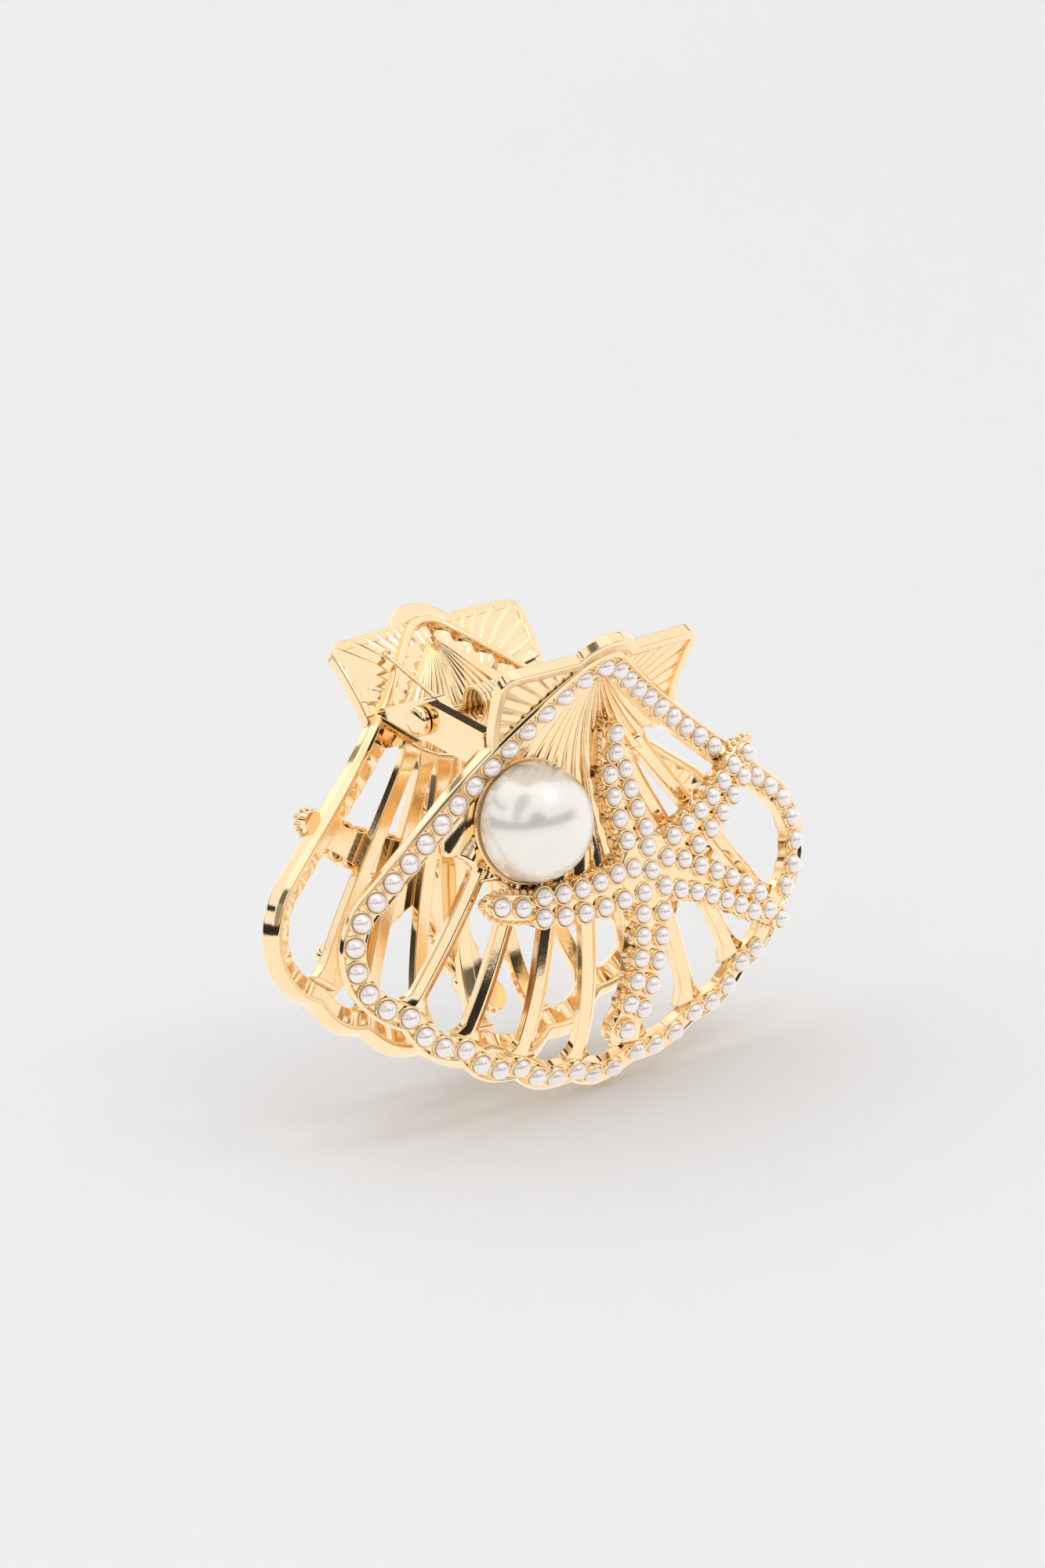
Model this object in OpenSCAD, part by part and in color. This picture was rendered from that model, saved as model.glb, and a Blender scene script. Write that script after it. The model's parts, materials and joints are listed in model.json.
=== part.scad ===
// Hair claw: two pierced scallop shell jaws on a sprung hinge, set with half pearls.
// The clip stands closed on its lowest scallops. +Z is up, X runs along the hinge pin,
// the front jaw faces -Y and the rear jaw is the same casting turned half round about Z.

/* [Shell outline] */
// Radius of the scalloped edge from the umbo, along the pearl line
fan_r = 41.9; // [34:0.1:51]
// How much shorter the edge gets for each degree away from the middle
fan_taper = 0.09; // [0.02:0.01:0.14]
// Angle that one scallop covers
scallop_a = 10.6; // [9.6:0.1:11.6]
// How far a scallop stands out between two ribs
scallop_h = 0.85; // [0.3:0.05:1.5]
// Direction of each corner scallop's centre from the umbo, from straight down
corner_dir = 41.6; // [40.5:0.1:42.5]
// How much nearer the umbo that centre lies than the scalloped edge
corner_inset = 9.4; // [8.6:0.1:10]
// Radius of the corner scallop along the pearl line
corner_r = 6.4; // [5.4:0.1:7.4]
// Radius of the arch over the umbo along the pearl line
arch_r = 3.2; // [2.6:0.1:4]

/* [Shell depth] */
// Depth of the jaw at its belly, from the middle plane
belly = 11.5; // [9.5:0.1:15]
// How far the lower edge tucks in from the belly
tuck = 5.8; // [4:0.1:8]
// Height where the tuck starts
tuck_z = 18; // [14:0.5:24]
// How much the jaw draws in at the waist
waist_in = 1.0; // [0:0.1:2]
// Drop of the waist below the umbo
waist_drop = 11.2; // [9:0.1:14]
// How far the handle flares out above the waist
flare = 4.5; // [2:0.1:6]
// How much the jaw curves back across its width, per square millimetre
bow = 0.0057; // [0.003:0.0001:0.008]

/* [Casting] */
// Width of the rim band
band_w = 2.9; // [2.6:0.1:3.2]
// Thickness of the band under the pearls
band_t = 1.0; // [0.8:0.1:1.4]
// Depth of the wall along the rim's outer edge
wall_d = 1.8; // [1.5:0.1:2.4]
// Thickness of that wall
wall_t = 0.9; // [0.7:0.1:1.1]
// Width of a rib
rib_w = 1.7; // [1.3:0.1:2.1]
// Depth of a rib
rib_d = 1.5; // [1:0.1:2]
// Radius of the solid fan from the arch's centre
plate_r = 20.5; // [17:0.5:23]
// Radius of the solid fan on the side away from the large pearl
side_r = 9.5; // [8:0.5:12]
// Thickness of the solid fan and the ears
plate_t = 1.1; // [0.9:0.1:1.5]
// Distance of an ear's tip from the middle plane
ear_x = 11.9; // [10.5:0.1:13]
// Height of an ear's tip above the umbo
ear_up = 0.9; // [0.3:0.1:2]
// Radius of the bar along the top of the handle
bar_r = 0.9; // [0.7:0.1:1.1]
// Height of the umbo's bump above the bar
bump_h = 1.3; // [0.8:0.1:1.8]

/* [Starfish] */
// Distance of the starfish's centre from the middle plane
star_x = 4.5; // [4:0.1:5]
// Drop of the starfish's centre below the umbo
star_drop = 22.2; // [21.7:0.1:22.7]
// Half width of an arm at its root
arm_root = 3.0; // [2.4:0.1:3.4]
// Half width of an arm at its tip
arm_tip = 1.4; // [1.1:0.1:1.7]
// Height that the starfish stands above the shell
star_h = 1.7; // [1.2:0.1:2.2]

/* [Pearls] */
// Diameter of a small half pearl
pearl_d = 2.0; // [1.6:0.1:2.4]
// Distance from one small pearl to the next
pearl_pitch = 2.5; // [2.3:0.1:3]
// Diameter of the large half pearl
large_d = 12; // [10:0.1:12.6]
// Distance of the large pearl down the left edge, from the arch
large_run = 13.2; // [12:0.1:14.5]
// Height of the large pearl's cup above the shell
cup_h = 1.4; // [1.1:0.1:1.8]

/* [Hinge] */
// Drop of the hinge pin below the umbo
hinge_drop = 4.4; // [3.4:0.1:5.2]
// Radius of the hinge pin
pin_r = 0.6; // [0.5:0.05:0.75]
// Radial clearance of the pin in the lugs
pin_gap = 0.04; // [0.02:0.01:0.08]
// Distance of the outer lug's outer face from the middle plane
lug_x = 11.6; // [10.8:0.1:12.4]
// Thickness of a lug
lug_t = 1.2; // [0.9:0.1:1.4]
// Clearance between the two jaws' lugs
lug_gap = 0.15; // [0.1:0.05:0.3]
// Wall of a lug's eye round the pin
eye_wall = 1.5; // [1.2:0.1:1.7]
// Radius of the pin's flat head
head_r = 1.55; // [1.3:0.05:1.8]
// Thickness of the pin's flat head
head_t = 1.0; // [0.7:0.1:1.3]
// Thickness of the washer on the pin's far end
washer_t = 0.5; // [0.3:0.1:0.8]

/* [Spring] */
// Diameter of the spring wire
wire_d = 0.5; // [0.4:0.05:0.6]
// Clearance between the coil and the pin
coil_gap = 1.0; // [0.8:0.05:1.2]
// Number of turns in the coil
turns = 19; // [14:1:20]
// Height where the legs bear on the handles, above the pin
leg_up = 4.4; // [3.8:0.1:4.6]

/* [Hidden] */
GOLD = [0.93, 0.79, 0.56];
PEARL = [0.95, 0.93, 0.90];
STEEL = [0.88, 0.76, 0.55];

// The umbo is as high as the middle scallop is long, so the clip stands on z = 0.
edge_out = band_w / 2;
umbo_z = fan_r + scallop_h + edge_out;
arch_z = umbo_z - arch_r;
waist_z = umbo_z - waist_drop;
hinge_z = umbo_z - hinge_drop;
corner_x = (fan_r - corner_inset) * sin(corner_dir);
corner_z = umbo_z - (fan_r - corner_inset) * cos(corner_dir);
cusp_a = 3.5 * scallop_a;
cusp_r = fan_r - fan_taper * cusp_a;
// Direction square to the straight edges, which touch the corner and the arch.
edge_span = norm([corner_x, corner_z - arch_z]);
edge_a = 180 + asin((corner_r - arch_r) / edge_span) - atan2(arch_z - corner_z, corner_x);
ear_z = umbo_z + ear_up;
eps = 0.02;
seat = 0.05;
pearl_gap = 0.1;

// Direction at an angle from straight down, in the plane of the shell.
function dir(a) = [sin(a), -cos(a)];
function ease(t) = let (s = min(1, max(0, t))) s * s * (3 - 2 * s);
// Depth of the shell's face from the middle plane.
function depth(x, z) =
    belly - tuck * pow(max(0, (tuck_z - z) / tuck_z), 3)
    - waist_in * ease((z - tuck_z) / (waist_z - tuck_z))
    + flare * pow(max(0, (z - waist_z) / (umbo_z - waist_z)), 2)
    - bow * x * x;
// Unit vector out of the shell's face, from the slopes of its depth.
function out(x, z, h = 0.05) =
    let (sx = (depth(x + h, z) - depth(x - h, z)) / (2 * h),
         sz = (depth(x, z + h) - depth(x, z - h)) / (2 * h),
         v = [-sx, -1, -sz])
    v / norm(v);
// Point on the shell's face, raised by w along the face's own direction.
function on_shell(p, w = 0) = [p[0], -depth(p[0], p[1]), p[1]] + w * out(p[0], p[1]);

function edge_r(a) = fan_r - fan_taper * abs(a) + scallop_h * abs(cos(180 * a / scallop_a));
function lobe_point(a) = [0, umbo_z] + edge_r(a) * dir(a);

// Right half of the pearl line, each entry a point and the direction across the band.
lobe_steps = 28;
corner_steps = 20;
edge_steps = 20;
arch_steps = 10;
cusp_p = [0, umbo_z] + cusp_r * dir(cusp_a);
corner_c = [corner_x, corner_z];
corner_a0 = atan2(cusp_p[0] - corner_x, corner_z - cusp_p[1]);
edge_lo = corner_c + corner_r * dir(edge_a);
edge_hi = [0, arch_z] + arch_r * dir(edge_a);
half_line = concat(
    [for (i = [0:lobe_steps]) let (a = cusp_a * i / lobe_steps) [lobe_point(a), dir(a)]],
    [for (i = [1:corner_steps]) let (t = i / corner_steps)
        [corner_c + corner_r * dir(corner_a0 + t * (edge_a - corner_a0)),
         dir(cusp_a + t * (edge_a - cusp_a))]],
    [for (i = [1:edge_steps]) [edge_lo + (edge_hi - edge_lo) * i / edge_steps, dir(edge_a)]],
    [for (i = [1:arch_steps]) let (a = edge_a + (180 - edge_a) * i / arch_steps)
        [[0, arch_z] + arch_r * dir(a), dir(a)]]);
function flip(e) = [[-e[0][0], e[0][1]], [-e[1][0], e[1][1]]];
rim_line = concat(half_line, [for (i = [len(half_line) - 2:-1:1]) flip(half_line[i])]);

// Closed or open tube through rings of points, all with the same number of points.
module tube(rings, closed = false) {
    n = len(rings);
    m = len(rings[0]);
    last = closed ? n - 1 : n - 2;
    sides = [for (i = [0:last], j = [0:m - 1])
        let (k = (i + 1) % n, l = (j + 1) % m)
        each [[i * m + j, i * m + l, k * m + l], [i * m + j, k * m + l, k * m + j]]];
    ends = closed ? [] : [for (j = [1:m - 2])
        each [[0, j + 1, j], [(n - 1) * m, (n - 1) * m + j, (n - 1) * m + j + 1]]];
    polyhedron([for (r = rings) each r], concat(sides, ends));
}

// Slab between two grids: rows of points on top, and the same rows underneath.
module slab(top, bottom) {
    n = len(top);
    m = len(top[0]);
    under = n * m;
    faces = [for (i = [0:n - 2], j = [0:m - 2])
        let (a = i * m + j, b = a + 1, c = b + m, d = a + m)
        each [[a, b, c], [a, c, d],
              [under + a, under + c, under + b], [under + a, under + d, under + c]]];
    rows = [for (j = [0:m - 2], a = [j, (n - 1) * m + j + 1]) let (b = a == j ? j + 1 : a - 1)
        each [[a, under + a, under + b], [a, under + b, b]]];
    cols = [for (i = [0:n - 2], a = [(i + 1) * m, (i + 1) * m - 1])
        let (b = a == (i + 1) * m ? a - m : a + m)
        each [[a, under + a, under + b], [a, under + b, b]]];
    polyhedron([each [for (r = top) each r], each [for (r = bottom) each r]],
        concat(faces, rows, cols));
}

module place(p, w = 0) {
    v = out(p[0], p[1]);
    translate(on_shell(p, w)) rotate([0, acos(v[2]), atan2(v[1], v[0])]) children();
}

module half_pearl(d) {
    intersection() {
        sphere(d = d, $fn = 32);
        translate([-d, -d, 0]) cube(2 * d);
    }
}

// Points a fixed distance apart along a run of the pearl line.
function walk(line, i = 0, left = 0, found = []) =
    i >= len(line) - 1 ? found :
    let (a = line[i], b = line[i + 1], span = norm(on_shell(b) - on_shell(a)))
    left > span ? walk(line, i + 1, left - span, found) :
    let (t = left / span, p = a + (b - a) * t)
    walk(concat([p], [for (k = [i + 1:len(line) - 1]) line[k]]), 0, pearl_pitch,
        concat(found, [p]));

// Three pearls to a scallop: one in each notch and two between.
lobe_pearls = [for (i = [-11:10]) lobe_point(scallop_a * (i + 0.5) / 3)];
edge_run = [for (i = [len(half_line) - 1:-1:lobe_steps + 1]) half_line[i][0]];
edge_pearls = [for (p = walk(edge_run))
    if (norm(on_shell(p) - on_shell(lobe_pearls[21])) > pearl_d + pearl_gap) p];
// The large pearl touches the row of rim pearls down the left edge.
large_q = edge_hi + large_run * dir(edge_a - 90) - ((large_d + pearl_d) / 2 - 0.05) * dir(edge_a);
large_p = [-large_q[0], large_q[1]];

// Starfish arms: tip, and how far the middle of the arm bends sideways.
star_c = [star_x, umbo_z - star_drop];
arms = [
    [[-2.4, 16], 0.8],
    [[17.4, 9.4], -1.2],
    [[18.2, -10], 1.0],
    [[-5.4, -16.4], 1.2],
    [[-19.2, 0.9], 1.4]];
function arm_point(k, t) =
    let (d = arms[k][0], side = [-d[1], d[0]] / norm(d))
    star_c + d * t + side * arms[k][1] * sin(180 * t);
function arm_half(t) = arm_root + (arm_tip - arm_root) * pow(t, 0.7);
function arm_side(k, t) =
    let (d = arm_point(k, t + 0.02) - arm_point(k, t - 0.02)) [-d[1], d[0]] / norm(d);
arm_steps = 9;
star_free = 0.1;
function clear_of_star(p) =
    min([for (k = [0:4], i = [0:24]) let (t = i / 24)
        norm(p - arm_point(k, t)) - arm_half(t)]) > pearl_d / 2 + star_free;
function clear_of_large(p) =
    norm(on_shell(p, seat) - on_shell(large_p, cup_h)) > large_d / 2 + pearl_d / 2 + seat;
module pearls(points) {
    for (p = points)
        if (clear_of_star(p) && clear_of_large(p))
            place(p, seat) half_pearl(pearl_d);
}

// Rim: a band under the pearls with a wall along its outer edge.
module rim() {
    color(GOLD)
    tube([for (e = rim_line) [
        for (s = [[-edge_out, 0], [0, 0], [edge_out, 0], [edge_out, -wall_d],
                  [edge_out - wall_t, -wall_d], [edge_out - wall_t, -band_t],
                  [-edge_out, -band_t]])
            on_shell(e[0] + e[1] * s[0], s[1])]], closed = true);
}

// Ribs: roof shaped bars that fan out from the plate to the notches of the rim. The plate
// is long above the large pearl and short on the other side.
rib_steps = 9;
function plate_reach(a) = plate_r + (side_r - plate_r) * ease((a - 3) / 13);
function rib_point(a, r) = [0, umbo_z] + r * dir(a);
module rib(a) {
    r1 = fan_r - fan_taper * abs(a) - edge_out + 0.5;
    r0 = arch_r + plate_reach(a) - 1;
    side = dir(a + 90) * rib_w / 2;
    tube([for (i = [0:rib_steps]) let (p = rib_point(a, r0 + (r1 - r0) * i / rib_steps))
        [on_shell(p, -0.1), on_shell(p - side, -0.6), on_shell(p - side, -rib_d),
         on_shell(p + side, -rib_d), on_shell(p + side, -0.6)]]);
}
module ribs() {
    color(GOLD) for (i = [-4:3]) rib(scallop_a * (i + 0.5));
}

// Fan: the solid part of the shell, the ears, the top bar with the umbo, and the large cup.
fan_half = edge_a - 90;
function fan_point(u, r) =
    [0, arch_z] + r * dir(u * fan_half) + u * (arch_r - 0.9) * dir(u * fan_half + 90);
fan_cols = 20;
fan_rows = 8;
fan_in = -1.5;
ear_steps = 5;
bar_steps = 16;
module fan_sheet() {
    grid = [for (i = [0:fan_rows]) [for (j = [0:fan_cols])
        let (u = 2 * j / fan_cols - 1)
        fan_point(u, fan_in + (plate_reach(u * fan_half) - fan_in) * i / fan_rows)]];
    slab([for (row = grid) [for (p = row) on_shell(p, -0.1)]],
         [for (row = grid) [for (p = row) on_shell(p, -0.1 - plate_t)]]);
}
// An ear runs from the rim's outer edge out to the handle's corner.
ear_low = [0, arch_z] + (arch_r + edge_out - 0.6) * dir(edge_a) + 11.4 * dir(edge_a - 90);
ear_in = [0, arch_z] + (arch_r + edge_out - 0.6) * dir(edge_a + 24);
ear_top_in = [2.6, ear_z];
ear_tip = [ear_x, ear_z];
function ear_point(s, t) =
    (1 - s) * ((1 - t) * ear_in + t * ear_low) + s * ((1 - t) * ear_top_in + t * ear_tip);
module ear() {
    rows = [for (i = [0:ear_steps]) [for (j = [ear_steps:-1:0])
        ear_point(i / ear_steps, j / ear_steps)]];
    slab([for (row = rows) [for (p = row) on_shell(p, -0.15)]],
         [for (row = rows) [for (p = row) on_shell(p, -0.15 - plate_t)]]);
}
function bar_point(s) = [s * ear_x, ear_z + bump_h * exp(-pow(s * ear_x / 3, 2))];
module top_bar() {
    tube([for (i = [0:bar_steps]) let (p = bar_point(2 * i / bar_steps - 1))
        [for (j = [7:-1:0]) on_shell([p[0], p[1] + bar_r * sin(45 * j + 22.5)],
            -0.4 + bar_r * cos(45 * j + 22.5))]]);
}

module fan() { color(GOLD) fan_sheet(); }
module ears() {
    color(GOLD) {
        ear();
        mirror([1, 0, 0]) ear();
    }
}
module handle_bar() { color(GOLD) top_bar(); }
module pearl_cup() {
    color(GOLD) place(large_p, -0.8)
        cylinder(r = large_d / 2 - 0.3, h = 0.8 + cup_h - seat, $fn = 48);
}

// Starfish: five arms that share the points between them, standing proud of the shell.
function star_top(t) = star_h * (1 - 0.2 * t);
crotch_r = arm_root * 1.35;
function arm_dir(k) = arms[k % 5][0] / norm(arms[k % 5][0]);
function crotch(k) = let (v = arm_dir(k) + arm_dir(k + 1)) star_c + crotch_r * v / norm(v);
function crotch_points(k) = let (p = crotch(k))
    [on_shell(p, -0.3), on_shell(p, star_h * 0.7), on_shell(p * 0.85 + star_c * 0.15, star_h)];
function arm_ring(k, t) = let (p = arm_point(k, t), s = arm_side(k, t) * arm_half(t))
    [on_shell(p + s, -0.3), on_shell(p + s, star_top(t) * 0.7), on_shell(p + s * 0.6, star_top(t)),
     on_shell(p - s * 0.6, star_top(t)), on_shell(p - s, star_top(t) * 0.7), on_shell(p - s, -0.3)];
// Place of a point in the list: two middle points, three for each crotch, then the arms.
function star_id(k, i, j) =
    i > 0 ? 17 + (k * arm_steps + i - 1) * 6 + j :
    j < 3 ? 2 + 3 * ((k + 4) % 5) + j : 2 + 3 * k + 5 - j;
module starfish() {
    first_t = (crotch_r + 1) / norm(arms[0][0]);
    points = concat([on_shell(star_c, star_h), on_shell(star_c, -0.3)],
        [for (k = [0:4]) each crotch_points(k)],
        [for (k = [0:4], i = [1:arm_steps])
            each arm_ring(k, first_t + (1 - first_t) * (i - 1) / (arm_steps - 1))]);
    sides = [for (k = [0:4], i = [0:arm_steps - 1], j = [0:5]) let (l = (j + 1) % 6)
        each [[star_id(k, i, j), star_id(k, i, l), star_id(k, i + 1, l)],
              [star_id(k, i, j), star_id(k, i + 1, l), star_id(k, i + 1, j)]]];
    middle = [for (k = [0:4])
        each [[0, star_id(k, 0, 3), star_id(k, 0, 2)], [1, star_id(k, 0, 0), star_id(k, 0, 5)]]];
    tips = [for (k = [0:4], j = [1:4])
        [star_id(k, arm_steps, 0), star_id(k, arm_steps, j), star_id(k, arm_steps, j + 1)]];
    color(GOLD) polyhedron(points, concat(sides, middle, tips));
}

// Two rows of small pearls along each arm, and a ring of them on the middle.
star_pearl_d = pearl_d * 0.92;
star_seat = star_h + seat;
arm_pitch = pearl_d * 1.14;
arm_start = arm_root * 1.35;
function reach(k) = norm(arms[k][0]);
function row_t(k, i) = (arm_start + i * arm_pitch) / reach(k);
function row_half(t) = (arm_half(t) + 0.25) / 2;
function row_point(k, i, s) = let (t = row_t(k, i))
    arm_point(k, t) + arm_side(k, t) * s * row_half(t);
// Where two arms crowd, the first pearl of the one gives way to the other's.
function crowded(k, i, s) = i == 0 && s == 1
    && norm(row_point(k, 0, 1) - row_point((k + 4) % 5, 0, -1)) < star_pearl_d + pearl_gap;
module arm_pearls(k) {
    rows = floor((reach(k) - arm_start - arm_tip * 0.4) / arm_pitch);
    color(PEARL)
    for (i = [0:rows], s = row_half(row_t(k, i)) > star_pearl_d / 2 + 0.02 ? [-1, 1] : [0])
        if (!crowded(k, i, s))
            place(row_point(k, i, s), star_seat) half_pearl(star_pearl_d);
}
module star_centre_pearls() {
    color(PEARL) {
        place(star_c, star_seat) half_pearl(star_pearl_d);
        for (i = [0:4])
            place(star_c + 2.35 * dir(72 * i + 36), star_seat) half_pearl(star_pearl_d);
    }
}

// The lugs stand inwards from the jaw and carry the pin. The left lug is the outer one, so
// that the same casting, turned half round, closes with its lugs beside these.
lug_root = depth(lug_x, hinge_z - 3) - 0.5;
bore_r = pin_r + pin_gap;
eye_r = pin_r + eye_wall;
module lug(x0) {
    translate([x0, 0, hinge_z]) rotate([90, 0, 90])
    difference() {
        union() {
            linear_extrude(lug_t)
                polygon([[0, -eye_r], [-lug_root, -4.4], [-lug_root, -0.3], [0, eye_r]]);
            cylinder(r = eye_r, h = lug_t, $fn = 48);
        }
        translate([0, 0, -1]) cylinder(r = bore_r, h = lug_t + 2, $fn = 48);
    }
}
module lugs() {
    color(GOLD) {
        lug(-lug_x);
        lug(lug_x - 2 * lug_t - lug_gap);
    }
}

module large_pearl() {
    color(PEARL) place(large_p, cup_h) half_pearl(large_d);
}

module rear() { rotate([0, 0, 180]) children(); }

// Pin: flat head outside the front jaw's left lug, riveted end outside the washer.
head_x = -lug_x - 0.1;
washer_x = lug_x + 0.1;
module along_x(x0, r, len) {
    translate([x0, 0, hinge_z]) rotate([0, 90, 0]) cylinder(r = r, h = len, $fn = 48);
}
module hinge_pin() {
    color(STEEL) {
        along_x(head_x - head_t, head_r, head_t);
        along_x(head_x - eps, pin_r, washer_x + washer_t - head_x + 2 * eps);
        along_x(washer_x + washer_t, pin_r * 1.4, 0.5);
    }
}
module pin_washer() {
    color(STEEL)
    difference() {
        along_x(washer_x, head_r, washer_t);
        along_x(washer_x - 1, pin_r + eps, washer_t + 2);
    }
}

// Torsion spring: a close coil on the pin, one leg up the inside of each handle.
coil_r = pin_r + coil_gap + wire_d / 2;
coil_pitch = wire_d + 0.06;
coil_half = turns * coil_pitch / 2;
coil_rings = 14;
wire_sides = 6;
leg_gap = 0.45;
leg_y = depth(coil_half, hinge_z + leg_up) - plate_t - wire_d / 2 - leg_gap;
// Each leg leaves the coil along its tangent and ends on the handle.
leg_a = atan2(-leg_y, leg_up);
function coil_angle(s) = leg_a - (360 * turns + 180 + 2 * leg_a) * s;
function coil_point(s) =
    [coil_half * (2 * s - 1), coil_r * cos(coil_angle(s)), coil_r * sin(coil_angle(s))];
leg_rear_end = [-coil_half - 0.3, leg_y, leg_up];
leg_front_end = [coil_half + 0.3, -leg_y, leg_up];
spring_line = concat([leg_rear_end],
    [for (i = [0:turns * coil_rings]) coil_point(i / (turns * coil_rings))],
    [leg_front_end]);
function wire_ring(i) =
    let (n = len(spring_line),
         t = spring_line[min(i + 1, n - 1)] - spring_line[max(i - 1, 0)],
         u = t / norm(t),
         a0 = cross(u, [0.3, 0.2, 1]), a = a0 / norm(a0), b = cross(u, a))
    [for (j = [0:wire_sides - 1]) spring_line[i] + [0, 0, hinge_z]
        + wire_d / 2 * (cos(360 * j / wire_sides) * a + sin(360 * j / wire_sides) * b)];
module hinge_spring() {
    color(STEEL) tube([for (i = [0:len(spring_line) - 1]) wire_ring(i)]);
}

module lobe_pearl_row() { color(PEARL) pearls(lobe_pearls); }
module right_edge_row() { color(PEARL) pearls(edge_pearls); }
module left_edge_row() {
    color(PEARL)
    pearls([for (i = [1:len(edge_pearls) - 1]) [-edge_pearls[i][0], edge_pearls[i][1]]]);
}

rim();  // front_rim
ribs();  // front_ribs
fan();  // front_fan
ears();  // front_ears
handle_bar();  // front_handle_bar
pearl_cup();  // front_pearl_cup
lugs();  // front_lugs
starfish();  // front_starfish
large_pearl();  // front_large_pearl
lobe_pearl_row();  // front_lobe_pearls
left_edge_row();  // front_left_edge_pearls
right_edge_row();  // front_right_edge_pearls
arm_pearls(0);  // front_arm_1_pearls
arm_pearls(1);  // front_arm_2_pearls
arm_pearls(2);  // front_arm_3_pearls
arm_pearls(3);  // front_arm_4_pearls
arm_pearls(4);  // front_arm_5_pearls
star_centre_pearls();  // front_star_centre_pearls
rear() rim();  // rear_rim
rear() ribs();  // rear_ribs
rear() fan();  // rear_fan
rear() ears();  // rear_ears
rear() handle_bar();  // rear_handle_bar
rear() pearl_cup();  // rear_pearl_cup
rear() lugs();  // rear_lugs
rear() starfish();  // rear_starfish
rear() large_pearl();  // rear_large_pearl
rear() lobe_pearl_row();  // rear_lobe_pearls
rear() left_edge_row();  // rear_left_edge_pearls
rear() right_edge_row();  // rear_right_edge_pearls
rear() arm_pearls(0);  // rear_arm_1_pearls
rear() arm_pearls(1);  // rear_arm_2_pearls
rear() arm_pearls(2);  // rear_arm_3_pearls
rear() arm_pearls(3);  // rear_arm_4_pearls
rear() arm_pearls(4);  // rear_arm_5_pearls
rear() star_centre_pearls();  // rear_star_centre_pearls
hinge_pin();
pin_washer();
hinge_spring();
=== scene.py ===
import json
import math
import bpy
import numpy as np
from mathutils import Matrix, Vector

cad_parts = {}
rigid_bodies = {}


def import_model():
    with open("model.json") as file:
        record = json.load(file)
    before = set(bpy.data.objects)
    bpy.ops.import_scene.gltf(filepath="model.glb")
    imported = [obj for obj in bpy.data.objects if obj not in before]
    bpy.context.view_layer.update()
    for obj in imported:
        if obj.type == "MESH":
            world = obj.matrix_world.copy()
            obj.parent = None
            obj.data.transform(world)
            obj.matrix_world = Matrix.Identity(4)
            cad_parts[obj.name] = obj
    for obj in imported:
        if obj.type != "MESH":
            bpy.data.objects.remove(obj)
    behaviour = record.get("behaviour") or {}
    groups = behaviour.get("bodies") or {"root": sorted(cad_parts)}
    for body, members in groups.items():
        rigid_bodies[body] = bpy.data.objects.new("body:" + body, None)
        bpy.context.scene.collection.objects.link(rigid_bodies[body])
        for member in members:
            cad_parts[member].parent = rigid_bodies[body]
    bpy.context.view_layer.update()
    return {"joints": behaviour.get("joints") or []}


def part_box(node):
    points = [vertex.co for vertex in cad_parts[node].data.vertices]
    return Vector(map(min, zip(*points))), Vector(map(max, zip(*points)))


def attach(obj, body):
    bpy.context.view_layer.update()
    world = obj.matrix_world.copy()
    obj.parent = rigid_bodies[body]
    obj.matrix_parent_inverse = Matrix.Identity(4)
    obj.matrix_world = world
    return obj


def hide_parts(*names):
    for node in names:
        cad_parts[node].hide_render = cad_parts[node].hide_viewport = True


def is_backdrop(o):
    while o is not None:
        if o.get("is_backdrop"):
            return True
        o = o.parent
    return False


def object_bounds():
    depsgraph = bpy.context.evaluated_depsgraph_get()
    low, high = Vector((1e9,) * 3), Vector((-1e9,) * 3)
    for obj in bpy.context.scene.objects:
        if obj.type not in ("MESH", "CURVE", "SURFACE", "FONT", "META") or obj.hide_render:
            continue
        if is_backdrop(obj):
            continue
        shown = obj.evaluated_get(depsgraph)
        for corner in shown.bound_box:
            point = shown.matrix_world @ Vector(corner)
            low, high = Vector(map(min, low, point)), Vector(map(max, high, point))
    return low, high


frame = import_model()

bl_info = {
    "name": "Shell Hair Claw",
    "version": (1, 0, 0),
    "blender": (4, 5, 0),
    "location": "View3D > Sidebar > Hair Claw",
    "description": "Pierced scallop shell hair claw with starfish, half pearls and a sprung hinge",
    "category": "Add Mesh",
}

# Shapes are worked out in millimetres and put into the meshes in metres.
MM = 0.001
JAWS = ("front", "rear")
# Height of a half pearl's flat back above what it is glued to.
SEAT = 0.05
# A starfish's small pearls against those of the rim.
STAR_PEARL = 0.92
PIN_AXIS_Z = frame["joints"][0]["pos_m"][2] / MM


def length(name, text, mm):
    """A length property with its default given in millimetres."""
    return bpy.props.FloatProperty(name=name, description=text, default=mm * MM, unit="LENGTH", precision=5)


def colour(name, text, rgb):
    """A linear colour property."""
    return bpy.props.FloatVectorProperty(name=name, description=text, default=rgb, subtype="COLOR",
                                         size=3, min=0, max=1)


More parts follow.
